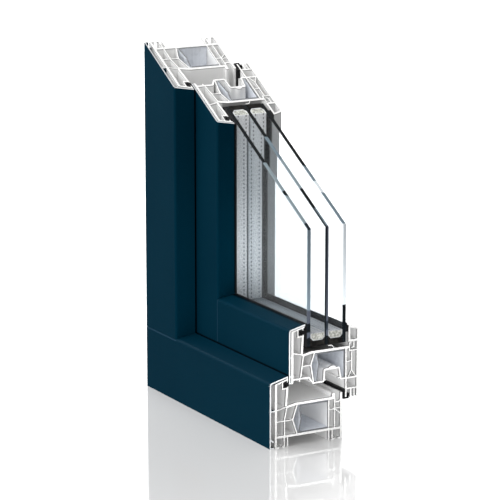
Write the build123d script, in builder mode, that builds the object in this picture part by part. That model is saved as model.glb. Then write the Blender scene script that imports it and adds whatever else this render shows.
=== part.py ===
import os
from math import cos, hypot, radians, sin

from build123d import *

# A corner sample of a clad window: a fixed frame and an opening sash, each of a rail (the lower
# member) and a stile (the side member), with triple glazing. Millimetres, +Z up. The origin is on
# the floor under the middle of the sample. A section is drawn as (depth, height): depth runs from
# the outdoor face of the frame profile towards the room, height from the outer edge of the frame.

# The sample as it was sawn
rail_length = 260.0
stile_height = 364.0
cut_angle = 30.0            # slope of the saw cut across the stile and the glass
play = 0.3                  # between pieces that are pushed together

# Profile walls
outer_wall = 2.4
rebate_wall = 2.2
floor_wall = 2.3
nose_wall = 1.4
web = 1.2
thin_web = 0.9
edge_round = 0.8

# Pocket in a profile's nose that holds a gasket's foot
pocket_depth = 5.4
pocket_height = 6.0
pocket_lip = 1.0

# Frame profile
frame_depth = 76.0
frame_wall_height = 64.0    # where the outdoor face turns into the nose
frame_nose = 14.5           # depth of the nose
frame_nose_rise = 4.5
frame_pocket_floor = 59.3
frame_floor = 43.0          # top of the rebate floor
frame_floor_start = 24.0    # depth where the sloped part of the floor ends
frame_floor_drop = 1.9      # how far it slopes down towards outdoors
frame_foot = 9.5            # clear height under the chambers
frame_legs = (10.7, 14.3, 60.8, 64.8)
foot_hooks = (5.0, -2.6, 2.8, -5.0) # reach of the hooks on the outer walls and the outer legs
frame_chamber = (25.3, 60.7)        # walls of the steel chamber
frame_chevron = 5.3                 # how far its outdoor wall bends outwards
frame_partitions = (10.9, 67.3)     # walls between the small chambers
frame_upper_web = 37.6
frame_upstand = (64.3, 67.6)
frame_top = 46.7            # top of the upstand and of the room wall
frame_groove_floor = 39.3
frame_groove_dip = 1.7      # how far the groove's floor sinks between its sides
frame_room_webs = (30.7, 31.3)

# Sash profile
sash_start = 18.2           # depth of the outdoor face
sash_end = 94.2             # depth of the room face
sash_low = 62.3             # lower edge of the outdoor wall
sash_wall_height = 114.5
sash_nose = 32.5
sash_nose_rise = 3.5
sash_pocket_floor = 109.0
sash_floor = 92.2           # top of the rebate floor
sash_floor_start = 40.3
sash_floor_drop = 2.0
sash_underside = 66.3       # middle of the stepped underside
sash_step = (38.0, 42.6)    # depths where it steps down
sash_chamber_floor = 60.1
sash_chamber = (44.3, 79.9)
sash_chevron = 4.2          # how far its outdoor wall bends outwards
sash_chamber_lean = 0.9     # how far that wall's foot lies outdoors of its head
sash_partitions = (28.6, 86.3)
sash_upper_web = 92.6
sash_middle_web = 78.5
sash_room_web = 76.8
sash_arch = 67.8            # crown of the arch over the overlap
sash_tooth = 27.5
sash_top = 96.0             # top of the room wall
overlap_low = 40.0          # lower edge of the leg that laps over the frame
overlap_web = 49.3
overlap_notch = 1.0         # how far the outdoor leg stops short for the gasket's hook
overlap_legs = (85.5, 89.5)
groove_wall = 1.6
groove_start = 55.5         # hardware groove, at the middle of its walls
groove_end = 72.2
groove_top = 71.9
groove_flare = 1.9          # how far its room side leans
groove_round = 1.3
groove_catches = (0.8, 1.6)  # how far the small lips at its mouth reach in
ridge = (58.0, 62.6, 66.2, 71.0)    # screw ridge over the groove: its start, crown and end
ridge_rise = 2.4
spring_foot = 66.5          # sprung rib on the rebate floor
spring_height = 3.4
bead_pocket_wall = 83.9     # depth of the bead pocket's outdoor wall
bead_pocket_sink = 8.0      # from the top of the room wall down to the pocket's floor
pocket_catch = 1.6          # catch that holds the bead's hook down

# Aluminium covers
cover_skin = 1.4
cover_radius = 3.0
cover_lip = 1.4
cover_foot = 0.7            # share of the space behind the cover that its lower edge spans
cover_joint_drop = 1.0      # from the bend down to the joint between rail and stile
cover_joint_gap = 0.3       # open joint between the rail's cover and the stile's
frame_cover_face = -5.6
frame_cover_bend = 65.8
frame_cover_rise = 4.9
frame_cover_ribs = (37.5,)
sash_cover_face = 15.7
sash_cover_low = 62.5
sash_cover_bend = 116.1
sash_cover_rise = 4.2
sash_cover_tip = 33.4
sash_cover_ribs = (70.0, 88.5)

# Steel channels
frame_sheet = 1.5
sash_sheet = 1.4
steel_radius = 1.6
steel_bend = 2.3            # how far the web bends into the chamber
steel_stand_off = 1.7       # from the chamber's outdoor wall to the web's ends
frame_steel_setback = 56.0  # from the outer edge to the sawn end
sash_steel_setback = 98.0

# Glazing
pane = 4.0
cavity = 16.0
arris = 0.4                 # ground off every edge of the glass
glass_start = 35.6          # depth of the outdoor face
glass_edge = 96.5
seal_depth = 6.0            # from the glass edge to the spacer bar
spacer_height = 7.5
spacer_chamfer = 2.7
spacer_wall = 0.4
spacer_play = 0.2

# Glazing bead
bead_start = 82.6
bead_seat = 0.4
bead_height = 16.8
bead_fall = 3.0
bead_wall = 2.0
bead_round = 4.0
bead_hook = (88.8, 86.1)    # depths of the hook's stem and of its barb
bead_hook_reach = 5.4

# Gaskets
gasket_skin = 1.1
bulb_hole = 1.0
outer_skirt = 12.0          # how far the outdoor glazing seal reaches down the glass
outer_lip_rise = 4.8
inner_pad = 6.5
inner_lip_rise = 2.6
sash_gasket_width = 3.6
sash_gasket_ribs = (42.6, 44.6, 46.6)
sash_gasket_foot = 82.9     # depth of the hook's stem
sash_gasket_hook = 4.0

# Where things stand
glass_end = glass_start + 3 * pane + 2 * cavity
corner = Vector(-rail_length / 2, -(frame_cover_face + sash_end) / 2, 0)
rail_plane = Plane(origin=corner, x_dir=(0, 1, 0), z_dir=(1, 0, 0))
stile_plane = Plane(origin=corner, x_dir=(0, 1, 0), z_dir=(0, 0, -1))
face_plane = Plane(origin=corner, x_dir=(1, 0, 0), z_dir=(0, -1, 0))
mitre_plane = Plane(origin=corner, z_dir=(1, 0, -1))
saw_plane = Plane(
    origin=corner + Vector(0, 0, stile_height),
    z_dir=(sin(radians(cut_angle)), 0, cos(radians(cut_angle))),
)
reach = 2 * stile_height    # a length that is past every cut


def beside(points, distance):
    """The points moved to the right of their path by a distance, with mitred corners."""
    normals = []
    for (x0, y0), (x1, y1) in zip(points, points[1:]):
        length = hypot(x1 - x0, y1 - y0)
        normals.append(((y1 - y0) / length, (x0 - x1) / length))
    moved = []
    for index, (x, y) in enumerate(points):
        before = normals[max(index - 1, 0)]
        after = normals[min(index, len(normals) - 1)]
        share = distance / (1 + before[0] * after[0] + before[1] * after[1])
        moved.append((x + share * (before[0] + after[0]), y + share * (before[1] + after[1])))
    return moved


def wall(*points, thickness):
    """A wall on the right of a path of points."""
    Polygon(*points, *reversed(beside(points, thickness)), align=None)


def rib(*points, thickness=web):
    """A wall with its middle on a path of points."""
    Polygon(*beside(points, thickness / 2), *reversed(beside(points, -thickness / 2)), align=None)


def rounded_rib(*points, thickness, radius):
    """A wall with its middle on a path of points, rounded where the path turns."""
    with BuildLine() as middle:
        FilletPolyline(*points, radius=radius)
    trace(middle.line, line_width=thickness)


def block(x0, y0, x1, y1, mode=Mode.ADD):
    """A filled rectangle between two corners."""
    Polygon((x0, y0), (x1, y0), (x1, y1), (x0, y1), align=None, mode=mode)


def gasket_pocket(mouth, floor):
    """The walls of a nose pocket, which opens towards the room between two lips."""
    back = mouth - pocket_depth
    top = floor + pocket_height
    block(back - web, floor - web, back, top + pocket_lip)
    block(back - web, floor - web, mouth + pocket_lip / 2, floor)
    block(mouth - pocket_lip / 2, floor - web, mouth + pocket_lip / 2, floor + pocket_lip)
    block(mouth - pocket_lip, top - pocket_lip / 2, mouth, top + 2 * pocket_lip)


def frame_section():
    """The frame profile: a nose with a gasket pocket, a rebate floor, chambers and feet."""
    under = frame_floor - floor_wall
    chamber_floor = frame_foot + floor_wall
    middle = (under + chamber_floor) / 2
    room_wall = frame_depth - outer_wall
    start, end = frame_chamber
    node = (frame_nose - pocket_lip, under - pocket_lip)
    inner, outer = frame_partitions[1], frame_partitions[0]
    with BuildSketch() as section:
        # Outdoor wall, nose and rebate wall
        wall((0, 0), (0, frame_wall_height), thickness=outer_wall)
        wall((0, frame_wall_height), (frame_nose, frame_wall_height + frame_nose_rise),
             thickness=nose_wall)
        gasket_pocket(frame_nose, frame_pocket_floor)
        wall((frame_nose + pocket_lip / 2, frame_pocket_floor - pocket_lip / 2),
             (frame_nose - pocket_lip, under), thickness=rebate_wall)
        # Rebate floor, upstand, groove and room wall
        wall((frame_nose - pocket_lip, frame_floor - frame_floor_drop),
             (frame_floor_start, frame_floor), (frame_upstand[1], frame_floor), thickness=floor_wall)
        block(frame_upstand[0], under, frame_upstand[1], frame_top)
        dip = frame_groove_floor - frame_groove_dip
        rib((inner, frame_groove_floor), (inner + frame_groove_dip, dip),
            (room_wall - frame_groove_dip, dip), (room_wall + edge_round, frame_groove_floor))
        wall((frame_depth, frame_top), (frame_depth, 0), thickness=outer_wall)
        # Chamber floor, from the outdoor wall to the room wall
        block(outer_wall / 2, frame_foot, room_wall + edge_round, chamber_floor)
        # Steel chamber
        rib((start, under + edge_round), (start - frame_chevron, middle), (start, frame_foot + edge_round))
        rib((end, frame_foot + edge_round), (end, under + edge_round))
        # Small chambers outdoors
        rib((outer_wall / 2, frame_upper_web), (frame_nose - 2 * web, under - web / 2), node,
            thickness=thin_web)
        rib(node, (outer, middle + web), (outer, frame_foot + edge_round))
        rib((outer_wall / 2, middle), (start - frame_chevron, middle), thickness=thin_web)
        # Small chambers towards the room
        rib((inner, frame_foot + edge_round), (inner, under + edge_round))
        rib((end, frame_room_webs[0]), (inner, frame_room_webs[0]), thickness=thin_web)
        rib((inner, frame_room_webs[1]), (room_wall + edge_round, frame_room_webs[1]),
            thickness=thin_web)
        rib((inner, frame_room_webs[0]), (room_wall + edge_round, middle - web), thickness=thin_web)
        # Feet, with hooks for a sill profile
        for leg in frame_legs:
            rib((leg, 0), (leg, frame_foot + edge_round), thickness=nose_wall)
        for root, hook in zip((0, frame_legs[0], frame_legs[3], frame_depth), foot_hooks):
            rib((root + hook / 10, web / 2), (root + hook, web / 2))
        for depth in (*frame_upstand, frame_depth):
            fillet(section.vertices().sort_by_distance((depth, frame_top))[0], edge_round)
    return section.sketch


def sash_section():
    """The sash profile: a nose, a rebate floor, a hardware groove, an overlap and a bead pocket."""
    under = sash_floor - floor_wall
    middle = sash_middle_web
    room_wall = sash_end - rebate_wall
    start, end = sash_chamber
    outer, inner = sash_partitions
    mouth = sash_nose - pocket_lip
    node = (mouth + 0.3, under - pocket_lip)
    leg = end - web / 2
    pocket_wall = bead_pocket_wall
    pocket_base = sash_top - bead_pocket_sink
    pocket_top = sash_top - bead_seat
    spring_top = sash_floor + spring_height
    mouth_height = sash_chamber_floor + 1.2 * web
    with BuildSketch() as section:
        # Outdoor wall, nose and rebate wall
        wall((sash_start, sash_low), (sash_start, sash_wall_height), thickness=outer_wall)
        wall((sash_start, sash_wall_height), (sash_nose, sash_wall_height + sash_nose_rise),
             thickness=nose_wall)
        gasket_pocket(mouth, sash_pocket_floor)
        wall((mouth + pocket_lip / 2, sash_pocket_floor - pocket_lip / 2),
             (mouth - pocket_lip / 2, under), thickness=rebate_wall)
        # Rebate floor, the sprung rib that carries the packers, and the bead pocket
        wall((mouth - pocket_lip, sash_floor - sash_floor_drop), (sash_floor_start, sash_floor),
             (pocket_wall, sash_floor), thickness=floor_wall)
        with BuildLine() as spring:
            TangentArc((spring_foot, sash_floor - web), (spring_foot - spring_height, spring_top),
                       tangent=(-0.2, 1))
            Line(spring.line @ 1, (spring_foot - 2 * spring_height, spring_top))
        trace(spring.line, line_width=thin_web * 0.8)
        rib((pocket_wall, pocket_top), (pocket_wall, pocket_base - web / 2),
            (room_wall + edge_round, pocket_base - web / 2))
        block(pocket_wall, pocket_top - web, pocket_wall + pocket_catch, pocket_top)
        # Room wall and overlap leg
        wall((sash_end, sash_top), (sash_end, overlap_low), thickness=rebate_wall)
        wall((leg, overlap_low + overlap_notch), (leg, sash_chamber_floor), thickness=groove_wall)
        rib((leg + web, overlap_web), (room_wall + edge_round, overlap_web), thickness=nose_wall)
        rib((overlap_legs[0], overlap_low), (overlap_legs[0], overlap_web), thickness=groove_wall)
        rib((overlap_legs[1], overlap_web), (overlap_legs[1], overlap_low + web / 2),
            (room_wall + edge_round, overlap_low + web / 2))
        # Underside in one sweep, with the hardware groove and the screw ridge over it
        rounded_rib(
            (sash_start + outer_wall / 2, sash_underside), (sash_step[0], sash_underside),
            (sash_step[1], sash_chamber_floor), (groove_start - groove_flare / 3, sash_chamber_floor),
            (groove_start, groove_top), (groove_end, groove_top),
            (groove_end + groove_flare, sash_chamber_floor), (room_wall + edge_round, sash_chamber_floor),
            thickness=groove_wall, radius=groove_round,
        )
        with BuildLine():
            Spline(*zip(ridge, (groove_top, groove_top + ridge_rise, groove_top + ridge_rise, groove_top)),
                   tangents=((1, 0.2), (1, -0.2)))
            Line((ridge[3], groove_top), (ridge[0], groove_top))
        make_face()
        rib((groove_start, mouth_height), (groove_start + web / 2 + groove_catches[0], mouth_height))
        rib((groove_end + groove_flare, mouth_height), (groove_end - groove_catches[1], mouth_height))
        rib((sash_tooth, sash_underside - 2 * nose_wall), (sash_tooth, sash_underside), thickness=nose_wall)
        # Steel chamber
        rib((start, under + edge_round), (start - sash_chevron, middle),
            (start - sash_chamber_lean, sash_chamber_floor))
        rib((end, sash_chamber_floor), (end, under + edge_round), thickness=nose_wall)
        # Small chambers outdoors
        rib((sash_start + outer_wall / 2, sash_upper_web), (mouth - 2 * web, under + web / 2), node,
            thickness=thin_web)
        rib(node, (outer, sash_underside))
        rib((outer + web, middle), (start - sash_chevron, middle), thickness=thin_web)
        # Small chambers towards the room
        rib((inner, sash_arch), (inner, pocket_base))
        rib((end, sash_room_web), (inner, sash_room_web), thickness=thin_web)
        rib((end + 2 * web, sash_chamber_floor), (inner, sash_arch),
            (room_wall - web / 2, sash_chamber_floor), thickness=thin_web)
        fillet(section.vertices().sort_by_distance((sash_end, overlap_low))[0], 2 * edge_round)
        fillet(section.vertices().sort_by_distance((sash_end, sash_top))[0], edge_round)
    return section.sketch


def cover_section(face, low, bend, tip, rise, ribs, backing):
    """A clipped cover: a flat face, a rounded bend, a sloped edge with a lip, and ribs behind it."""
    half = cover_skin / 2
    back = face + cover_skin
    top = bend + rise
    with BuildSketch() as section:
        rounded_rib((face + half, low), (face + half, bend - half), (tip, top - half),
                    thickness=cover_skin, radius=cover_radius - half)
        block(tip - cover_skin, top - cover_skin - cover_lip / 2, tip, top - cover_skin / 2)
        block(face + half, low, back + cover_foot * (backing - back), low + web)
        for height in ribs:
            block(face + half, height - web / 2, backing, height + web / 2)
    return section.sketch


def frame_cover_section():
    """The cover in front of the frame profile, with a sprung hook near its lower edge."""
    with BuildSketch() as section:
        add(cover_section(frame_cover_face, 0, frame_cover_bend, frame_nose, frame_cover_rise,
                          frame_cover_ribs, backing=0))
        rib((frame_cover_face + cover_skin / 2, frame_foot), (-web, 2 * frame_foot / 3))
    return section.sketch


def sash_cover_section():
    """The cover in front of the sash profile."""
    return cover_section(sash_cover_face, sash_cover_low, sash_cover_bend, sash_cover_tip, sash_cover_rise,
                         sash_cover_ribs, backing=sash_start)


def frame_steel_section():
    """A channel of steel sheet that opens towards the room, with its web bent into the chamber."""
    top = frame_floor - floor_wall - play - frame_sheet / 2
    low = frame_foot + floor_wall + play + frame_sheet / 2
    end = frame_chamber[1] - web / 2 - play
    start = frame_chamber[0] + steel_stand_off
    with BuildSketch() as section:
        rounded_rib((end, top), (start, top), (start + steel_bend, (top + low) / 2), (start, low),
                    (end, low), thickness=frame_sheet, radius=steel_radius)
    return section.sketch


def sash_steel_section():
    """A channel of steel sheet that opens downwards, over the hardware groove."""
    top = sash_floor - floor_wall - play - sash_sheet / 2
    low = sash_chamber_floor + web
    start = sash_chamber[0] + steel_stand_off + web / 2
    end = sash_chamber[1] - web - play - sash_sheet / 2
    with BuildSketch() as section:
        rounded_rib((start, low), (start + steel_bend, sash_middle_web), (start, top), (end, top),
                    (end, low), thickness=sash_sheet, radius=steel_radius)
    return section.sketch


def bead_section():
    """A hollow glazing bead with the hook that snaps into the sash."""
    seat = sash_top + bead_seat
    top = seat + bead_height
    stem, barb = bead_hook
    with BuildSketch() as section:
        Polygon((bead_start, seat), (bead_start, top), (sash_end, top - bead_fall), (sash_end, seat),
                align=None)
        fillet(section.vertices().sort_by_distance((sash_end, top))[0], bead_round)
        fillet(section.vertices().sort_by_distance((bead_start, top))[0], edge_round)
        offset(amount=-bead_wall, kind=Kind.INTERSECTION, mode=Mode.SUBTRACT)
        rib((stem, seat + bead_wall / 2), (stem, seat - bead_hook_reach),
            (barb, seat - bead_hook_reach - web))
    return section.sketch


def spacer_outline(cavity_number):
    """The corners of a spacer bar between two panes, chamfered towards the glass edge."""
    start = glass_start + pane + cavity_number * (pane + cavity) + spacer_play
    end = start + cavity - 2 * spacer_play
    low = glass_edge + seal_depth
    top = low + spacer_height
    return [
        (start, top), (start, low + spacer_chamfer), (start + spacer_chamfer, low),
        (end - spacer_chamfer, low), (end, low + spacer_chamfer), (end, top),
    ]


def spacer_section(cavity_number):
    """The thin wall of a spacer bar."""
    with BuildSketch() as section:
        Polygon(*spacer_outline(cavity_number), align=None)
        offset(amount=-spacer_wall, kind=Kind.INTERSECTION, mode=Mode.SUBTRACT)
    return section.sketch


def desiccant_section(cavity_number):
    """The filling of drying beads inside a spacer bar."""
    with BuildSketch() as section:
        Polygon(*spacer_outline(cavity_number), align=None)
        offset(amount=-spacer_wall, kind=Kind.INTERSECTION, mode=Mode.REPLACE)
    return section.sketch


def edge_seal_section(cavity_number):
    """The sealant between two panes, from the glass edge up the spacer bar's chamfers."""
    start = glass_start + pane + cavity_number * (pane + cavity)
    with BuildSketch() as section:
        block(start, glass_edge, start + cavity, glass_edge + seal_depth + spacer_chamfer)
        Polygon(*spacer_outline(cavity_number), align=None, mode=Mode.SUBTRACT)
    return section.sketch


def gasket_foot(mouth, floor, end):
    """A foot in a nose pocket with a hollow bulb that fills its mouth and reaches out to a depth."""
    low = floor + pocket_lip + play / 2
    high = floor + pocket_height - pocket_lip - play / 2
    block(mouth - pocket_depth + play, floor + play, mouth - pocket_lip - play,
          floor + pocket_height - 2 * play)
    block(mouth - pocket_lip - 2 * play, low, end, high)
    with Locations((mouth - pocket_depth / 2, floor + pocket_height / 2)):
        Circle(bulb_hole, mode=Mode.SUBTRACT)


def frame_gasket_section():
    """The outdoor seal between frame and sash."""
    end = sash_cover_face - play / 2
    with BuildSketch() as section:
        gasket_foot(frame_nose, frame_pocket_floor, end)
        fillet(section.vertices().group_by(Axis.X)[-1], edge_round)
    return section.sketch


def sash_gasket_section():
    """The room side seal between frame and sash: a ribbed hollow bulb, hooked round the overlap's leg."""
    start = frame_depth + play
    end = start + sash_gasket_width - 2 * play
    leg_back = sash_chamber[1] - web / 2 + groove_wall
    hook_top = overlap_low + sash_gasket_hook
    with BuildSketch() as section:
        block(start, overlap_low + play, end, overlap_web)
        for height in sash_gasket_ribs:
            with Locations((start + play / 2, height)):
                Circle(play)
        block(start + gasket_skin, overlap_low + 2 * gasket_skin, end - gasket_skin,
              overlap_web - gasket_skin, mode=Mode.SUBTRACT)
        rib((start + web, overlap_low - play), (sash_gasket_foot, overlap_low - play),
            (sash_gasket_foot, hook_top))
        block(start, overlap_low - play, start + 2 * gasket_skin, overlap_low + gasket_skin)
        block(leg_back + play / 2, hook_top - nose_wall, sash_gasket_foot + nose_wall, hook_top)
    return section.sketch


def outer_glazing_gasket_section():
    """The outdoor glazing seal: a foot in the nose pocket, a skirt and a lip along the pane."""
    mouth = sash_nose - pocket_lip
    end = glass_start - play / 2
    lip_top = sash_cover_bend + outer_lip_rise
    with BuildSketch() as section:
        gasket_foot(mouth, sash_pocket_floor, end)
        block(mouth + gasket_skin, sash_pocket_floor - outer_skirt, end, sash_pocket_floor + 2 * pocket_lip)
        block(sash_cover_tip + play, sash_pocket_floor + pocket_lip, end, lip_top)
        fillet(section.vertices().sort_by_distance((sash_cover_tip, lip_top))[0], edge_round)
    return section.sketch


def inner_glazing_gasket_section():
    """The room side glazing seal between the pane and the bead."""
    top = sash_top + bead_seat + bead_height
    start = glass_end + play / 2
    end = bead_start - play / 2
    with BuildSketch() as section:
        block(start, top - inner_pad, end, top)
        block(start, top - web, start + gasket_skin, top + inner_lip_rise)
        with Locations(((start + end) / 2, top - inner_pad / 2)):
            Circle(bulb_hole * 0.6, mode=Mode.SUBTRACT)
    return section.sketch


def corner_area(bend, stile_on_top, gap=0.0):
    """The area on one side of a cover joint: level or upright to the bend, then along the mitre."""
    turn = bend - cover_joint_drop
    if stile_on_top:
        Polygon((-reach, turn), (turn, turn), (reach, reach), (-reach, reach), align=None)
    else:
        Polygon((turn, -reach), (turn, turn), (reach, reach), (reach, -reach), align=None)
    if gap:
        offset(amount=gap, kind=Kind.INTERSECTION)


def save(piece, name):
    """Label a finished piece and write it to its own file."""
    piece.part.label = name
    export_step(piece.part, f"parts/{name}.step")


def mitred_pair(rail_name, stile_name, section):
    """Run a section along the rail and up the stile, with a mitre between them."""
    with BuildPart() as rail:
        with BuildSketch(rail_plane):
            add(section)
        extrude(amount=rail_length)
        split(bisect_by=mitre_plane, keep=Keep.TOP)
    save(rail, rail_name)
    with BuildPart() as stile:
        with BuildSketch(stile_plane):
            add(section)
        extrude(amount=-stile_height)
        split(bisect_by=mitre_plane, keep=Keep.BOTTOM)
        split(bisect_by=saw_plane, keep=Keep.BOTTOM)
    save(stile, stile_name)


def steel_pair(member, section, setback):
    """Run a steel channel along the rail and up the stile, from square ends near the corner."""
    with BuildPart() as rail:
        with BuildSketch(rail_plane.offset(setback)):
            add(section)
        extrude(amount=rail_length - setback)
    save(rail, f"{member}_rail_steel")
    with BuildPart() as stile:
        with BuildSketch(stile_plane.offset(-setback)):
            add(section)
        extrude(amount=-stile_height)
        split(bisect_by=saw_plane, keep=Keep.BOTTOM)
    save(stile, f"{member}_stile_steel")


def cover_pair(member, section, low, bend, stile_on_top):
    """Run a cover along the rail and up the stile, one butting on the other below the bend."""
    with BuildPart() as rail:
        with BuildSketch(rail_plane.offset(low)):
            add(section)
        extrude(amount=rail_length - low)
        with BuildSketch(face_plane):
            corner_area(bend, stile_on_top, gap=cover_joint_gap if stile_on_top else 0.0)
        extrude(amount=reach, both=True, mode=Mode.SUBTRACT if stile_on_top else Mode.INTERSECT)
    save(rail, f"{member}_rail_cover")
    with BuildPart() as stile:
        with BuildSketch(stile_plane.offset(-low)):
            add(section)
        extrude(amount=-stile_height)
        with BuildSketch(face_plane):
            corner_area(bend, stile_on_top, gap=0.0 if stile_on_top else cover_joint_gap)
        extrude(amount=reach, both=True, mode=Mode.INTERSECT if stile_on_top else Mode.SUBTRACT)
        split(bisect_by=saw_plane, keep=Keep.BOTTOM)
    save(stile, f"{member}_stile_cover")


def glass_pane(name, number):
    """Cut a pane square at the rail's end and at the stile's slope, and grind its edges."""
    with BuildPart() as sheet:
        with BuildSketch(face_plane.offset(-glass_start - number * (pane + cavity))):
            block(glass_edge, glass_edge, rail_length, stile_height)
        extrude(amount=-pane)
        split(bisect_by=saw_plane, keep=Keep.BOTTOM)
        chamfer(sheet.edges(), arris)
    save(sheet, name)


os.makedirs("parts", exist_ok=True)

# Frame and sash profiles, welded at the mitre, and the bead and gaskets that follow them
mitred_pair("frame_rail_profile", "frame_stile_profile", frame_section())
mitred_pair("sash_rail_profile", "sash_stile_profile", sash_section())
mitred_pair("rail_bead", "stile_bead", bead_section())
mitred_pair("rail_frame_gasket", "stile_frame_gasket", frame_gasket_section())
mitred_pair("rail_sash_gasket", "stile_sash_gasket", sash_gasket_section())
mitred_pair("rail_outer_glazing_gasket", "stile_outer_glazing_gasket", outer_glazing_gasket_section())
mitred_pair("rail_inner_glazing_gasket", "stile_inner_glazing_gasket", inner_glazing_gasket_section())

# Steel, sawn square before the profiles were welded
steel_pair("frame", frame_steel_section(), frame_steel_setback)
steel_pair("sash", sash_steel_section(), sash_steel_setback)

# Covers: the frame's rail piece and the sash's stile piece run through
cover_pair("frame", frame_cover_section(), 0, frame_cover_bend, stile_on_top=True)
cover_pair("sash", sash_cover_section(), sash_cover_low, sash_cover_bend, stile_on_top=False)

# Panes, with spacer bars, drying beads and sealant between them
for number, name in enumerate(("outdoor_pane", "middle_pane", "room_pane")):
    glass_pane(name, number)
for number, side in enumerate(("outdoor", "room")):
    mitred_pair(f"{side}_rail_spacer", f"{side}_stile_spacer", spacer_section(number))
    mitred_pair(f"{side}_rail_desiccant", f"{side}_stile_desiccant", desiccant_section(number))
    mitred_pair(f"{side}_rail_edge_seal", f"{side}_stile_edge_seal", edge_seal_section(number))
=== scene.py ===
from collections import namedtuple
from math import cos, radians, sin

import bmesh
import bpy
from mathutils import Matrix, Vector


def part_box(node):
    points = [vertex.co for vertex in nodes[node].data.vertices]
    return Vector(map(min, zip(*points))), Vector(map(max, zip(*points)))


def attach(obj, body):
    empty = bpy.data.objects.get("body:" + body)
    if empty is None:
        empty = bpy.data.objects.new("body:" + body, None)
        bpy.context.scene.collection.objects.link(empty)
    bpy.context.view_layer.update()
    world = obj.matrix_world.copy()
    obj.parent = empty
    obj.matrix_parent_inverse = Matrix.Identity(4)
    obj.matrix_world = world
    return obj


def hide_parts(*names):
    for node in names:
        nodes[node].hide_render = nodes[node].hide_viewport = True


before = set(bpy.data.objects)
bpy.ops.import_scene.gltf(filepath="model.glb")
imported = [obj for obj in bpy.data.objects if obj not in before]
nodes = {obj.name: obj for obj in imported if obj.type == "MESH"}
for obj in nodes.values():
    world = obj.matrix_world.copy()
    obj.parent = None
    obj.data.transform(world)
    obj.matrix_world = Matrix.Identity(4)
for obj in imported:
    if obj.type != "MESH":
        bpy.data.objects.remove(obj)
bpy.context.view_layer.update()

# PVC profiles
# Frame and sash are extruded from white PVC, sawn to length and welded at the mitre. The extruded faces
# keep faint draw lines, the sawn ends the blade's arcs with a thin line of painted shade behind them, and the
# mitre its cleaned weld. Painted light brightens the chambers near the sawn ends. Painted shade darkens the
# rebate floor under the glass, the stile's walls that face left and the rail's sawn end.
corner_x = -0.130           # the stile's outer face, from where the rail runs along X
stile_height = 0.364
saw_angle = radians(30.0)
mitre_angle = radians(45.0)
Cut = namedtuple("Cut", "axis normal point")    # the axis of the run, and the plane of its sawn end
cuts = {
    "rail": Cut(0, (1.0, 0.0, 0.0), (0.130, 0.0, 0.0)),
    "stile": Cut(2, (sin(saw_angle), 0.0, cos(saw_angle)), (corner_x, 0.0, stile_height)),
}
extruded_tones = ((0.71, 0.71, 0.705, 1.0), (0.76, 0.76, 0.75, 1.0))
# painted shade: the same PVC's sawn faces are painted a darker white on the rail's end than on the stile's
sawn_tones_by_light = {
    "rail": ((0.44, 0.44, 0.435, 1.0), (0.53, 0.53, 0.525, 1.0)),
    "stile": ((0.62, 0.62, 0.61, 1.0), (0.75, 0.75, 0.74, 1.0)),
}
# painted light: the chamber walls near the sawn end are painted lighter, fading out behind the cut
mouth_light_tone = {"rail": (0.835, 0.835, 0.835, 1.0), "stile": (0.785, 0.785, 0.78, 1.0)}
mouth_light_fade = (0.01, 0.10)   # where the chambers' mouth tone ends, behind the cut
# painted shade: the grey of the thin line behind the sawn end and of the rebate floor under the glass
shade_grey = (0.10, 0.10, 0.10, 1.0)
shade_line_depth = {"rail": 0.0030, "stile": 0.0012}
shade_line_strength = {"rail": 0.85, "stile": 0.55}
under_glass_shade = 0.75
# painted shade on the stile's walls that face left
left_wall_shade = (0.44, 0.44, 0.435, 1.0)
# painted shade on the side of the stile's bead that faces the opening
opening_side_shade = (0.52, 0.525, 0.53, 1.0)
weld_grey = (0.50, 0.50, 0.49, 1.0)


def give(tree, node, inputs):
    """Set a node's inputs: a link where the value is a socket, and a plain value elsewhere."""
    for key, value in inputs.items():
        if isinstance(value, bpy.types.NodeSocket):
            tree.links.new(value, node.inputs[key])
        else:
            node.inputs[key].default_value = value


def grow(tree, kind, inputs=None, **settings):
    """A node with its settings, its values and its links."""
    node = tree.nodes.new(kind)
    for key, value in settings.items():
        setattr(node, key, value)
    give(tree, node, inputs or {})
    return node


def add(tree, kind, inputs=None, **settings):
    """A shader or maths node."""
    return grow(tree, "ShaderNode" + kind, inputs, **settings)


def new_material(name):
    """A material with its node tree, its shader and its Object coordinates."""
    material = bpy.data.materials.new(name)
    material.use_nodes = True
    tree = material.node_tree
    return material, tree, tree.nodes["Principled BSDF"], add(tree, "TexCoord").outputs["Object"]


def axes_of(tree, vector):
    """The X, Y and Z of a vector."""
    return add(tree, "SeparateXYZ", {0: vector}).outputs


def maths(tree, operation, first, second=0.0):
    """The result of one sum."""
    return add(tree, "Math", {0: first, 1: second}, operation=operation).outputs[0]


def product(tree, first, *others):
    """The product of several values."""
    for other in others:
        first = maths(tree, "MULTIPLY", first, other)
    return first


def dot(tree, vector, direction):
    """How far a vector reaches in a direction."""
    return add(tree, "VectorMath", {0: vector, 1: direction}, operation="DOT_PRODUCT").outputs["Value"]


def spread(tree, value, low, high, to_low=0.0, to_high=1.0):
    """A value carried over from one range to another, softly at both ends."""
    node = add(tree, "MapRange", {"Value": value, "From Min": low, "From Max": high, "To Min": to_low,
                                  "To Max": to_high}, interpolation_type="SMOOTHSTEP")
    return node.outputs[0]


def within(tree, value, rise, fall):
    """1 between a soft rise and a soft fall, and 0 outside."""
    return product(tree, spread(tree, value, *rise), spread(tree, value, *fall, 1.0, 0.0))


def drawn_out(axis, share):
    """The scale that draws a pattern out along one axis."""
    return tuple(share if number == axis else 1.0 for number in range(3))


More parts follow.
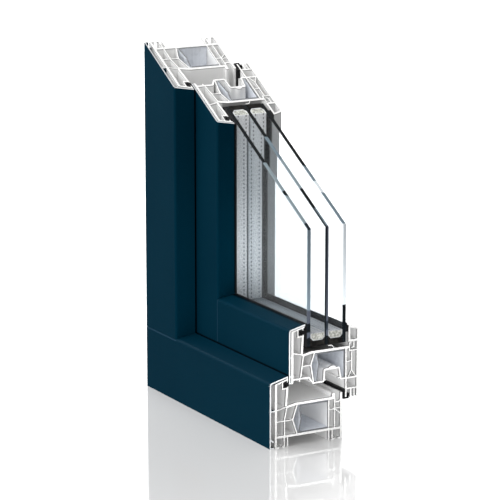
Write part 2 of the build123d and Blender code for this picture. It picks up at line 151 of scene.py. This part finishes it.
def noise(tree, place, scale, stretch=(1.0, 1.0, 1.0), detail=4.0):
    """Noise in Object coordinates, stretched along the axes."""
    stretched = add(tree, "Mapping", {"Vector": place, "Scale": stretch})
    texture = add(tree, "TexNoise", {"Vector": stretched.outputs[0], "Scale": scale, "Detail": detail})
    return texture.outputs["Fac"]


def ramp(tree, value, stops, interpolation="LINEAR"):
    """A colour ramp over a value, from (place, colour) stops."""
    node = add(tree, "ValToRGB", {"Fac": value})
    node.color_ramp.interpolation = interpolation
    elements = node.color_ramp.elements
    for index, (position, colour) in enumerate(stops):
        element = elements[index] if index < 2 else elements.new(position)
        element.position = position
        element.color = colour
    return node.outputs["Color"]


def mottled(tree, place, scale, tones, low=0.3, high=0.7, detail=4.0):
    """Two tones that noise carries from one to the other."""
    return ramp(tree, noise(tree, place, scale, detail=detail), [(low, tones[0]), (high, tones[1])])


def blend(tree, factor, first, second):
    """Two colours mixed by a factor."""
    return add(tree, "Mix", {"Factor": factor, 6: first, 7: second}, data_type="RGBA").outputs[2]


def bump(tree, height, distance, strength):
    """A bump over a height."""
    return add(tree, "Bump", {"Height": height, "Distance": distance, "Strength": strength}).outputs[0]


def facing(tree, direction, least=0.995):
    """1 on faces that look one way, as a sawn end does, and 0 elsewhere."""
    normal = add(tree, "NewGeometry").outputs["Normal"]
    return maths(tree, "GREATER_THAN", dot(tree, normal, direction), least)


def behind_end(tree, place, cut):
    """How far a point lies behind the plane of a sawn end, in metres."""
    end = Vector(cut.normal).dot(Vector(cut.point))
    return maths(tree, "SUBTRACT", end, dot(tree, place, cut.normal))


def mitre_distance(tree, place):
    """How far a point lies from the mitre plane of rail and stile, in metres."""
    axes = axes_of(tree, place)
    across = maths(tree, "SUBTRACT", maths(tree, "SUBTRACT", axes[0], corner_x), axes[2])
    return product(tree, maths(tree, "ABSOLUTE", across), cos(mitre_angle))


def under_glass(tree, place, axis):
    """1 on the rebate floor below the foot of the glazing, and 0 elsewhere."""
    axes = axes_of(tree, place)
    from_outside = axes[2] if axis == 0 else maths(tree, "SUBTRACT", axes[0], corner_x)
    glass_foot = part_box("outdoor_pane")[0][2]
    outdoor_face, room_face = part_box("outdoor_pane")[0][1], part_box("room_pane")[1][1]
    below_foot = within(tree, from_outside, (glass_foot - 0.0090, glass_foot - 0.0070),
                        (glass_foot - 0.0002, glass_foot + 0.0008))
    under_unit = within(tree, axes[1], (outdoor_face - 0.002, outdoor_face + 0.001),
                        (room_face - 0.001, room_face + 0.002))
    return product(tree, below_foot, under_unit)


def dress(names, material):
    """Put a material on CAD nodes."""
    for name in names:
        nodes[name].data.materials.clear()
        nodes[name].data.materials.append(material)


def pvc_material(name, run, painted_shade_side=None, painted_shade_tone=None):
    """White extruded PVC, drawn along the run, with blade arcs on the sawn end and a thin line of painted
    shade behind it, painted light in the chambers' mouths and painted shade on one side and under the glass.
    """
    material, tree, shader, place = new_material(name)
    cut = cuts[run]
    sawn = facing(tree, cut.normal)
    inward = behind_end(tree, place, cut)
    tone = mottled(tree, place, 14.0, extruded_tones)
    # painted light in the chambers' mouths, near the sawn end
    tone = blend(tree, spread(tree, inward, *mouth_light_fade, 1.0, 0.0), tone, mouth_light_tone[run])
    if painted_shade_side:
        # painted shade on the faces that look towards one side
        tone = blend(tree, facing(tree, painted_shade_side, 0.7), tone, painted_shade_tone)
    # painted shade on the rebate floor under the glass
    tone = blend(tree, product(tree, under_glass(tree, place, cut.axis), under_glass_shade), tone, shade_grey)
    # painted shade: a thin dark line on the walls just behind the sawn end
    shade_line = spread(tree, inward, shade_line_depth[run] * 0.4, shade_line_depth[run], shade_line_strength[run], 0.0)
    tone = blend(tree, shade_line, tone, shade_grey)
    weld = spread(tree, mitre_distance(tree, place), 0.0003, 0.0013, 1.0, 0.0)
    tone = blend(tree, product(tree, weld, 0.35), tone, weld_grey)
    # the sawn end's white, with painted shade on the rail's end
    end_tone = blend(tree, spread(tree, noise(tree, place, 400.0), 0.3, 0.7), *sawn_tones_by_light[run])
    roughness = maths(tree, "ADD", spread(tree, sawn, 0.0, 1.0, 0.32, 0.65), product(tree, weld, 0.2))
    draw_lines = noise(tree, place, 900.0, drawn_out(cut.axis, 0.02), 3.0)
    arcs = add(tree, "TexWave", {"Vector": place, "Scale": 260.0, "Distortion": 3.0, "Detail": 3.0},
               wave_type="RINGS", rings_direction="SPHERICAL").outputs["Fac"]
    relief = add(tree, "Mix", {"Factor": sawn, 2: draw_lines, 3: arcs}, data_type="FLOAT").outputs[0]
    seam = add(tree, "Bump", {"Height": maths(tree, "SUBTRACT", 1.0, weld), "Distance": 0.0003,
                              "Strength": 0.6, "Normal": bump(tree, relief, 0.00006, 0.5)})
    give(tree, shader, {
        "Base Color": blend(tree, sawn, tone, end_tone), "Roughness": roughness,
        "Normal": seam.outputs[0], "Specular IOR Level": 0.3,
    })
    return material


rail_pvc = pvc_material("rail_pvc", "rail")
dress(("frame_rail_profile", "sash_rail_profile"), rail_pvc)
dress(("frame_stile_profile", "sash_stile_profile"),
      pvc_material("stile_pvc", "stile", (-1.0, 0.0, 0.0), left_wall_shade))

# Glazing beads
# Hollow PVC strips that snap into the sash and press on the glass, mitred at the corner. The stile's bead
# has painted shade on the side that faces the opening.
dress(("rail_bead",), rail_pvc)
# the stile's bead carries painted shade on the side that faces the opening
dress(("stile_bead",), pvc_material("stile_bead_pvc", "stile", (1.0, 0.0, 0.0), opening_side_shade))

# Steel in the chambers
# Roll-formed channels of galvanised strip, pushed into the profiles before welding and sawn with them.
# The zinc has a soft spangle and faint streaks. The sawn edges are painted dark, a painted reflection of the
# dark surroundings.
zinc_tones = ((0.62, 0.65, 0.70, 1.0), (0.80, 0.83, 0.88, 1.0))
# painted reflection: the sawn steel edges are painted dark
sawn_steel_reflection = {"rail": (0.11, 0.115, 0.125, 1.0), "stile": (0.13, 0.135, 0.145, 1.0)}

for run, cut in cuts.items():
    steel, tree, shader, place = new_material(f"{run}_steel")
    spangle = add(tree, "TexVoronoi", {"Vector": place, "Scale": 210.0}).outputs["Color"]
    grains = add(tree, "SeparateColor", {0: spangle}).outputs[0]
    streaks = noise(tree, place, 520.0, drawn_out(cut.axis, 0.03), 3.0)
    patches = maths(tree, "ADD", product(tree, grains, 0.35), product(tree, streaks, 0.65))
    zinc = ramp(tree, patches, [(0.15, zinc_tones[0]), (0.85, zinc_tones[1])])
    give(tree, shader, {
        # painted reflection on the sawn edges
        "Base Color": blend(tree, facing(tree, cut.normal), zinc, sawn_steel_reflection[run]), "Metallic": 0.25,
        "Roughness": spread(tree, patches, 0.0, 1.0, 0.38, 0.56),
        "Normal": bump(tree, noise(tree, place, 700.0), 0.00005, 0.4),
    })
    dress((f"frame_{run}_steel", f"sash_{run}_steel"), steel)

# Aluminium covers
# Extruded aluminium, powder coated in dark petrol blue with a fine orange peel. The sawn ends stay bare and
# the hidden back has a pale primer near them that fades behind the cut, partly painted light for the hollow.
# The covers butt at the corner, where a thin arris has a painted highlight, and the gaps along the frame and
# the glass have painted shade.
petrol_tones = ((0.0002, 0.0132, 0.0250, 1.0), (0.0004, 0.0150, 0.0275, 1.0))
petrol_sheen = (0.03, 0.50, 0.85, 1.0)
bare_aluminium = (0.45, 0.46, 0.47, 1.0)
# a pale primer on the hidden back, and painted light that fades out behind the cut
back_primer_and_light = (0.80, 0.80, 0.80, 1.0)
primer_and_light_fade = (0.08, 0.12)  # where the primer ends, behind the cut
cover_skin = 0.0014
face_slack = 0.0006         # how far off a point may lie and still belong to the back's face
sash_arris = 0.0009
frame_arris = 0.0016        # with the open joint above it
gap_shade_width = 0.0010
# painted highlight on the arris along the covers' joint
painted_joint_highlight = (0.009, 0.029, 0.050, 1.0)
# painted shade on the sash covers' edges along the gaps
painted_gap_shade = (0.0, 0.0005, 0.0015, 1.0)


def cover_joint(tree, place, member):
    """1 on the thin arris of a rail's cover along its joint with the stile's, below the bend, where a
    highlight is painted.
    """
    axes = axes_of(tree, place)
    if member == "sash":
        return maths(tree, "LESS_THAN", axes[0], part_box("sash_rail_cover")[0][0] + sash_arris)
    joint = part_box("frame_stile_cover")[0][2]
    near_top = maths(tree, "GREATER_THAN", axes[2], joint - frame_arris)
    return product(tree, near_top, maths(tree, "LESS_THAN", axes[0], corner_x + joint + 0.001))


def cover_gap(tree, place):
    """1 on the edges of the sash covers where shade is painted for the gaps, at the frame's covers and at the
    glass.
    """
    axes = axes_of(tree, place)
    beside = maths(tree, "LESS_THAN", axes[0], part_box("frame_stile_cover")[1][0] + gap_shade_width)
    above = maths(tree, "LESS_THAN", axes[2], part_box("frame_rail_cover")[1][2] + gap_shade_width)
    past_stile = maths(tree, "GREATER_THAN", axes[0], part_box("sash_stile_cover")[1][0] - 0.0001)
    on_top = maths(tree, "GREATER_THAN", axes[2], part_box("sash_rail_cover")[1][2] - 0.0006)
    return maths(tree, "MAXIMUM", maths(tree, "MAXIMUM", beside, above), product(tree, past_stile, on_top))


def cover_back(tree, place, name, cut):
    """1 on the hidden inner face of a cover near its sawn end, where pale primer and painted light go, and 0
    elsewhere.
    """
    back_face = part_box(name)[0][1] + cover_skin
    off_back = maths(tree, "ABSOLUTE", maths(tree, "SUBTRACT", axes_of(tree, place)[1], back_face))
    return product(tree, facing(tree, (0.0, 1.0, 0.0)), maths(tree, "LESS_THAN", off_back, face_slack),
                   spread(tree, behind_end(tree, place, cut), *primer_and_light_fade, 1.0, 0.0))


for member in ("frame", "sash"):
    for run, cut in cuts.items():
        name = f"{member}_{run}_cover"
        coat, tree, shader, place = new_material(f"{name}_coat")
        tone = mottled(tree, place, 9.0, petrol_tones)
        if run == "rail":
            # painted highlight along the joint with the stile's cover
            tone = blend(tree, cover_joint(tree, place, member), tone, painted_joint_highlight)
        if member == "sash":
            # painted shade along the gaps at the frame's covers and the glass
            tone = blend(tree, cover_gap(tree, place), tone, painted_gap_shade)
        # pale primer and painted light on the hidden back near the sawn end
        tone = blend(tree, cover_back(tree, place, name, cut), tone, back_primer_and_light)
        peel = noise(tree, place, 1500.0, detail=2.0)
        give(tree, shader, {
            "Base Color": blend(tree, facing(tree, cut.normal), tone, bare_aluminium),
            "Roughness": spread(tree, noise(tree, place, 2600.0, detail=2.0), 0.2, 0.8, 0.52, 0.68),
            "Specular IOR Level": 0.04, "Specular Tint": petrol_sheen,
            "Normal": bump(tree, peel, 0.00003, 0.4),
        })
        dress((name,), coat)

# Panes
# Three sheets of 4 mm float glass, whose clear faces mirror the studio only faintly. Light that runs along
# a sheet leaves it at the ground edges; here these carry painted reflections, dark or pale in lengths up the
# stile.
sheet_tint = (0.90, 0.93, 0.945, 1.0)
faint_mirror = (0.03, 0.03, 0.03, 1.0)
edge_black = (0.003, 0.004, 0.005, 1.0)
edge_slate = (0.014, 0.019, 0.025, 1.0)
edge_dusk = (0.050, 0.057, 0.075, 1.0)
edge_blue = (0.135, 0.175, 0.205, 1.0)
edge_sky = (0.20, 0.245, 0.27, 1.0)
edge_pale = (0.57, 0.61, 0.64, 1.0)
# painted reflections on the ground edges, by height
edge_reflection_lengths = {            # the height where each tone starts
    "outdoor_pane": (
        (0.000, edge_black), (0.107, edge_dusk), (0.113, edge_black), (0.122, edge_dusk),
        (0.134, edge_blue), (0.214, edge_slate), (0.219, edge_sky), (0.2395, edge_black),
        (0.2445, edge_sky), (0.265, edge_black),
    ),
    "middle_pane": (
        (0.000, edge_black), (0.107, edge_dusk), (0.113, edge_slate), (0.122, edge_dusk),
        (0.216, edge_blue), (0.230, edge_black), (0.2445, edge_sky), (0.267, edge_blue),
        (0.283, edge_black),
    ),
    "room_pane": (
        (0.000, edge_black), (0.1355, edge_pale), (0.215, edge_blue), (0.2395, edge_pale),
        (0.2475, edge_blue), (0.2595, edge_black),
    ),
}
# painted reflection: a dark rim on the middle pane's edge
painted_rim_width = (0.0013, 0.0019)    # the dark outdoor half of the middle pane's edge, fading across it
painted_rim_top = (0.236, 0.240)        # where that half ends upwards

clear_glass, tree, shader, place = new_material("clear_glass")
give(tree, shader, {"Base Color": sheet_tint, "Transmission Weight": 1.0, "Roughness": 0.0, "IOR": 1.5,
                    "Specular Tint": faint_mirror})

for name, lengths in edge_reflection_lengths.items():
    ground, tree, shader, place = new_material(f"{name}_edge")
    axes = axes_of(tree, place)
    ragged = maths(tree, "ADD", axes[2], product(tree, noise(tree, place, 300.0), 0.004))
    # painted reflections: the edge tone by height up the stile
    tone = ramp(tree, maths(tree, "DIVIDE", ragged, stile_height),
                [(start / stile_height, colour) for start, colour in lengths], "CONSTANT")
    chips = spread(tree, noise(tree, place, 1400.0, detail=2.0), 0.55, 0.75)
    tone = blend(tree, product(tree, chips, 0.25), tone, edge_blue)
    if name == "middle_pane":
        # painted reflection: the dark outdoor half of the middle pane's edge
        from_face = maths(tree, "SUBTRACT", axes[1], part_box(name)[0][1])
        painted_rim = product(tree, spread(tree, from_face, *painted_rim_width, 0.95, 0.0),
                      spread(tree, axes[2], *painted_rim_top, 1.0, 0.0))
        tone = blend(tree, painted_rim, tone, edge_black)
    give(tree, shader, {"Base Color": tone, "Roughness": 0.35, "Specular IOR Level": 0.04})
    nodes[name].visible_shadow = name == "room_pane"    # light still reaches the seat through the others
    sheet = nodes[name].data
    sheet.materials.clear()
    sheet.materials.append(clear_glass)
    sheet.materials.append(ground)
    for face in sheet.polygons:
        face.material_index = 0 if abs(face.normal.y) > 0.9 else 1

# Spacer bars
# Folded aluminium boxes between the panes. Two rows of slots on the side that faces the cavity let the
# drying beads take up moisture. The rail's bars are painted darker than the stile's, as painted shade, and
# painted light pales them towards the top. The slots are flat dark discs, painted shade of the holes.
pane_thickness = 0.0040
cavity = 0.0160
glass_start = -0.0087       # depth of the outdoor face of the glass unit
bar_clearance = 0.0002      # on each side, between bar and pane
bar_width = 0.0156
bar_starts = {
    "outdoor": glass_start + pane_thickness + bar_clearance,
    "room": glass_start + 2 * pane_thickness + cavity + bar_clearance,
}
bar_top = 0.110             # from the frame's outer edge to the side that faces the cavity
slot_pitch = 0.0040
slot_length = 0.0024
slot_width = 0.0011
slot_lift = 0.00003         # keeps the slots' shade just clear of the bar
row_offset = 0.0045         # from the middle of the bar to a row
row_start = 0.0020          # from the inner corner to the first slot
row_ends = {"rail": 0.1295, "stile": 0.2995}    # X on the rail, height on the stile
# painted light towards the top of the spacer bars
painted_top_light = (0.96, 0.98, 1.0, 1.0)
# painted shade: the rail's bars are painted darker than the stile's
mill_tones_as_lit = {
    "rail": ((0.20, 0.21, 0.225, 1.0), (0.31, 0.325, 0.345, 1.0)),
    "stile": ((0.48, 0.495, 0.515, 1.0), (0.69, 0.71, 0.73, 1.0)),
}
# painted shade: the slots are flat dark discs that stand in for the shade inside the holes
slot_tones = ((0.04, 0.044, 0.05, 1.0), (0.10, 0.105, 0.115, 1.0))

for run, tones in mill_tones_as_lit.items():
    spacer, tree, shader, place = new_material(f"{run}_spacer_aluminium")
    mill = mottled(tree, place, 700.0, tones, 0.42, 0.56, detail=6.0)
    # painted light, growing towards the top
    near_top = spread(tree, axes_of(tree, place)[2], 0.22, 0.285, 0.0, 0.38)
    give(tree, shader, {
        "Base Color": blend(tree, near_top, mill, painted_top_light), "Roughness": 0.55,
        "Normal": bump(tree, noise(tree, place, 1200.0), 0.00006, 0.6),
    })
    dress((f"outdoor_{run}_spacer", f"room_{run}_spacer"), spacer)

# painted shade of the holes, on flat discs
slot_shade, tree, shader, place = new_material("spacer_slot")
give(tree, shader, {"Base Color": mottled(tree, place, 900.0, slot_tones), "Roughness": 0.8})


def node_tree(name, sockets):
    """A Geometry Nodes tree with a geometry input and output and named inputs."""
    tree = bpy.data.node_groups.new(name, "GeometryNodeTree")
    tree.interface.new_socket("Geometry", in_out="INPUT", socket_type="NodeSocketGeometry")
    for label, kind in sockets:
        tree.interface.new_socket(label, in_out="INPUT", socket_type="NodeSocket" + kind)
    tree.interface.new_socket("Geometry", in_out="OUTPUT", socket_type="NodeSocketGeometry")
    return tree, tree.nodes.new("NodeGroupInput").outputs, tree.nodes.new("NodeGroupOutput")


def finish_tree(tree, output, geometry, material):
    """End a tree in real geometry with its material set."""
    real = grow(tree, "GeometryNodeRealizeInstances", {0: geometry})
    finished = grow(tree, "GeometryNodeSetMaterial", {"Geometry": real.outputs[0], "Material": material})
    give(tree, output, {0: finished.outputs[0]})


def made(name, mesh, tree, values):
    """The plain mesh object that a tree makes of a mesh, with the tree's inputs set by name."""
    piece = bpy.data.objects.new(name, mesh)
    bpy.context.scene.collection.objects.link(piece)
    modifier = piece.modifiers.new("made", "NODES")
    modifier.node_group = tree
    for item in tree.interface.items_tree:
        if item.in_out == "INPUT" and item.name in values:
            modifier[item.identifier] = values[item.name]
    depsgraph = bpy.context.evaluated_depsgraph_get()
    result = bpy.data.meshes.new_from_object(piece.evaluated_get(depsgraph))
    piece.modifiers.remove(modifier)
    result.materials.clear()
    result.materials.append(values["Finish"])
    piece.data = result
    return piece


# Each row starts as a straight edge. The tree sets slots along it, flat on the bar.
slot_tree, given, output = node_tree("slot_rows", (
    ("Pitch", "Float"), ("Length", "Float"), ("Width", "Float"), ("Turn", "Vector"), ("Finish", "Material"),
))
row = grow(slot_tree, "GeometryNodeMeshToCurve", {"Mesh": given["Geometry"]})
points = grow(slot_tree, "GeometryNodeCurveToPoints", {"Curve": row.outputs[0], "Length": given["Pitch"]},
              mode="LENGTH")
disc = grow(slot_tree, "GeometryNodeMeshCircle", {"Vertices": 8, "Radius": 0.5}, fill_type="NGON")
shape = add(slot_tree, "CombineXYZ", {0: given["Length"], 1: given["Width"], 2: 1.0})
slot_form = grow(slot_tree, "GeometryNodeTransform", {"Geometry": disc.outputs[0], "Scale": shape.outputs[0]})
turn = grow(slot_tree, "FunctionNodeEulerToRotation", {0: given["Turn"]})
rows = grow(slot_tree, "GeometryNodeInstanceOnPoints", {
    "Points": points.outputs[0], "Instance": slot_form.outputs[0], "Rotation": turn.outputs[0],
})
finish_tree(slot_tree, output, rows.outputs[0], given["Finish"])

for side, start in bar_starts.items():
    for run in cuts:
        lines = bpy.data.meshes.new(f"{side}_{run}_rows")
        ends = []
        for offset in (-row_offset, row_offset):
            depth = start + bar_width / 2 + offset
            if run == "rail":
                height = bar_top + slot_lift
                ends += [(corner_x + bar_top + row_start, depth, height), (row_ends[run], depth, height)]
            else:
                face_x = corner_x + bar_top + slot_lift
                ends += [(face_x, depth, bar_top + row_start), (face_x, depth, row_ends[run])]
        lines.from_pydata(ends, [(0, 1), (2, 3)], [])
        piece = made(f"{side}_{run}_spacer_slots", lines, slot_tree, {
            "Pitch": slot_pitch, "Length": slot_length, "Width": slot_width,
            "Turn": (0.0, 0.0, 0.0) if run == "rail" else (0.0, radians(90.0), 0.0), "Finish": slot_shade,
        })
        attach(piece, "root")

# Drying beads
# Cream molecular sieve beads fill the spacer bars and show where these are sawn. The fill at the rail's end
# is painted darker than that on the stile's slope, as painted shade.
bead_radius = 0.00050
bead_sizes = (0.85, 1.15)   # smallest and largest, as shares of the radius
bead_spacing = 0.00082
bead_seat = 0.0006          # how far the fill lies back behind the cut
bead_density = 6.0e6        # points per square metre that the spacing then thins out
bead_seed = 11
end_reach = 0.0002          # how near the cut a point of the fill belongs to its sawn end
# painted shade: the fill at the rail's end is painted darker than that on the stile
sieve_tones_as_lit = {
    "rail": ((0.15, 0.152, 0.14, 1.0), (0.37, 0.375, 0.35, 1.0)),
    "stile": ((0.32, 0.325, 0.30, 1.0), (0.68, 0.69, 0.64, 1.0)),
}
sieve = {}
for run, tones in sieve_tones_as_lit.items():
    sieve[run], tree, shader, place = new_material(f"{run}_drying_beads")
    give(tree, shader, {
        "Base Color": mottled(tree, place, 500.0, tones, 0.38, 0.62), "Roughness": 0.9,
        "Specular IOR Level": 0.2, "Normal": bump(tree, noise(tree, place, 3000.0), 0.00005, 0.5),
    })

# The tree sinks the sawn end of the fill and sets beads on it.
bead_tree, given, output = node_tree("drying_bead_fill", (
    ("Sawn", "Vector"), ("Far", "Float"), ("Radius", "Float"), ("Spacing", "Float"), ("Seat", "Float"),
    ("Seed", "Int"), ("Finish", "Material"),
))
position = grow(bead_tree, "GeometryNodeInputPosition").outputs[0]
at_end = maths(bead_tree, "GREATER_THAN", dot(bead_tree, position, given["Sawn"]), given["Far"])
back = product(bead_tree, given["Seat"], -1.0)
push = add(bead_tree, "VectorMath", {0: given["Sawn"], "Scale": back}, operation="SCALE")
sunk = grow(bead_tree, "GeometryNodeSetPosition", {
    "Geometry": given["Geometry"], "Selection": at_end, "Offset": push.outputs[0],
})
normal = grow(bead_tree, "GeometryNodeInputNormal").outputs[0]
on_end = maths(bead_tree, "GREATER_THAN", dot(bead_tree, normal, given["Sawn"]), 0.99)
seats = grow(bead_tree, "GeometryNodeDistributePointsOnFaces", {
    "Mesh": sunk.outputs[0], "Selection": on_end, "Distance Min": given["Spacing"],
    "Density Max": bead_density, "Seed": given["Seed"],
}, distribute_method="POISSON")
ball = grow(bead_tree, "GeometryNodeMeshIcoSphere", {"Radius": given["Radius"], "Subdivisions": 2})
size = grow(bead_tree, "FunctionNodeRandomValue", {2: bead_sizes[0], 3: bead_sizes[1], "Seed": given["Seed"]},
            data_type="FLOAT")
balls = grow(bead_tree, "GeometryNodeInstanceOnPoints", {
    "Points": seats.outputs[0], "Instance": ball.outputs[0], "Scale": size.outputs[1],
})
joined = grow(bead_tree, "GeometryNodeJoinGeometry", {0: sunk.outputs[0]})
give(bead_tree, joined, {0: balls.outputs[0]})
finish_tree(bead_tree, output, joined.outputs[0], given["Finish"])

for number, side in enumerate(bar_starts):
    for run, cut in cuts.items():
        node = f"{side}_{run}_desiccant"
        fill = nodes[node].data.copy()
        whole = bmesh.new()
        whole.from_mesh(fill)
        bmesh.ops.remove_doubles(whole, verts=whole.verts, dist=1e-6)
        whole.to_mesh(fill)
        whole.free()
        far = max(point.co.dot(Vector(cut.normal)) for point in fill.vertices)
        piece = made(f"{side}_{run}_drying_beads", fill, bead_tree, {
            "Sawn": cut.normal, "Far": far - end_reach, "Radius": bead_radius, "Spacing": bead_spacing,
            "Seat": bead_seat, "Seed": bead_seed + number, "Finish": sieve[run],
        })
        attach(piece, "root")
        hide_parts(node)

# Edge sealant
# Black sealant, trowelled between the panes from the glass edge up to the spacer bar. It bonds the unit
# and sets dull and slightly uneven.
sealant_tones = ((0.003, 0.003, 0.003, 1.0), (0.016, 0.015, 0.014, 1.0))
sealant, tree, shader, place = new_material("edge_sealant")
give(tree, shader, {
    "Base Color": mottled(tree, place, 220.0, sealant_tones, 0.40, 0.65), "Roughness": 0.75,
    "Specular IOR Level": 0.05, "Normal": bump(tree, noise(tree, place, 250.0), 0.0003, 0.5),
})
dress([f"{side}_{run}_edge_seal" for side in bar_starts for run in cuts], sealant)

# Gaskets
# Black rubber strips: the seals between frame and sash, and the glazing seals on both sides of the glass.
# They are extruded, pressed into grooves of the profiles and cut with them.
rubber_tones = ((0.004, 0.004, 0.0045, 1.0), (0.009, 0.009, 0.010, 1.0))
rubber, tree, shader, place = new_material("gasket_rubber")
give(tree, shader, {
    "Base Color": mottled(tree, place, 90.0, rubber_tones),
    "Roughness": spread(tree, noise(tree, place, 400.0), 0.2, 0.8, 0.38, 0.55),
    "Specular IOR Level": 0.1, "Normal": bump(tree, noise(tree, place, 600.0), 0.00008, 0.4),
})
dress([f"{run}_{kind}_gasket" for run in cuts
       for kind in ("frame", "sash", "outer_glazing", "inner_glazing")], rubber)

# Floor
# A plain white glossy studio sheet, the same all over, with a soft mirror image of the foot.
floor_half = 12.0
sheet_white = (0.65, 0.65, 0.65, 1.0)
floor_mesh = bpy.data.meshes.new("floor")
floor_mesh.from_pydata(
    [(-floor_half, -floor_half, 0), (floor_half, -floor_half, 0), (floor_half, floor_half, 0),
     (-floor_half, floor_half, 0)],
    [], [(0, 1, 2, 3)],
)
floor = bpy.data.objects.new("floor", floor_mesh)
bpy.context.scene.collection.objects.link(floor)
sheet, tree, shader, place = new_material("studio_sheet")
give(tree, shader, {"Base Color": sheet_white, "Roughness": 0.06, "Specular IOR Level": 1.0,
                    "Coat Weight": 0.6})
floor_mesh.materials.append(sheet)
floor.visible_glossy = False

# Light
# A white studio dome: a wide soft box in front of the outdoor side, a bright wall behind the sample,
# opposite the camera, and a soft ceiling. Dark flags stand to the left of the sample and on its room side.
# Two small lamps near the sawn ends light these more than the rest.
world = bpy.data.worlds.new("studio")
bpy.context.scene.world = world
world.use_nodes = True
sky = world.node_tree
direction = add(sky, "TexCoord").outputs["Generated"]


def towards(x, y, z):
    """How nearly a direction of the dome points towards another."""
    return dot(sky, direction, Vector((x, y, z)).normalized())


front_box = spread(sky, towards(-0.45, -0.85, 0.32), 0.15, 0.95, 0.0, 3.0)
back_wall = spread(sky, towards(-0.85, 0.48, -0.05), 0.35, 0.85, 0.0, 2.2)
ceiling = spread(sky, towards(0.0, -0.1, 1.0), 0.35, 1.0, 0.0, 0.5)
all_round = 0.42
dome = maths(sky, "ADD", maths(sky, "ADD", front_box, back_wall), maths(sky, "ADD", ceiling, all_round))
over_floor = spread(sky, axes_of(sky, direction)[2], -0.08, 0.0, 0.04, 1.0)
left_flag = spread(sky, towards(-0.87, -0.49, 0.10), 0.90, 0.97, 1.0, 0.15)
room_flag = spread(sky, towards(0.60, 0.80, 0.05), 0.30, 0.90, 1.0, 0.20)
give(sky, sky.nodes["Background"], {
    "Strength": product(sky, dome, over_floor, left_flag, room_flag), "Color": (1.0, 1.0, 1.0, 1.0),
})


def soft_lamp(name, place, target, size, cone, power):
    """A small square lamp that points at a target, within a cone, and doesn't show itself."""
    data = bpy.data.lights.new(name, "AREA")
    data.size = size
    data.spread = radians(cone)
    data.energy = power
    lamp = bpy.data.objects.new(name, data)
    bpy.context.scene.collection.objects.link(lamp)
    lamp.location = place
    lamp.rotation_euler = (Vector(target) - Vector(place)).to_track_quat("-Z", "Y").to_euler()
    lamp.visible_camera = False
    lamp.visible_glossy = False


soft_lamp("rail_end_lamp", (0.38, -0.03, 0.05), (0.13, 0.0, 0.06), size=0.14, cone=50.0, power=0.178)
soft_lamp("stile_end_lamp", (0.06, 0.02, 0.62), (-0.08, 0.0, 0.33), size=0.16, cone=50.0, power=0.054)

# Camera
# A long lens a little above the sample, facing the corner between the outdoor face and the rail's cut end.
view_azimuth = radians(29.28)
view_elevation = radians(12.834)
view_distance = 2.607
aim = Vector((-0.0001, 0.0012, 0.1664))
towards_camera = Vector((
    cos(view_azimuth) * cos(view_elevation), -sin(view_azimuth) * cos(view_elevation), sin(view_elevation)
))
camera_data = bpy.data.cameras.new("camera")
camera_data.sensor_width = 36.0
camera_data.lens = 186.8
camera = bpy.data.objects.new("camera", camera_data)
bpy.context.scene.collection.objects.link(camera)
camera.location = aim + view_distance * towards_camera
camera.rotation_euler = (-towards_camera).to_track_quat("-Z", "Y").to_euler()
bpy.context.scene.camera = camera
bpy.context.scene.view_settings.view_transform = "Standard"
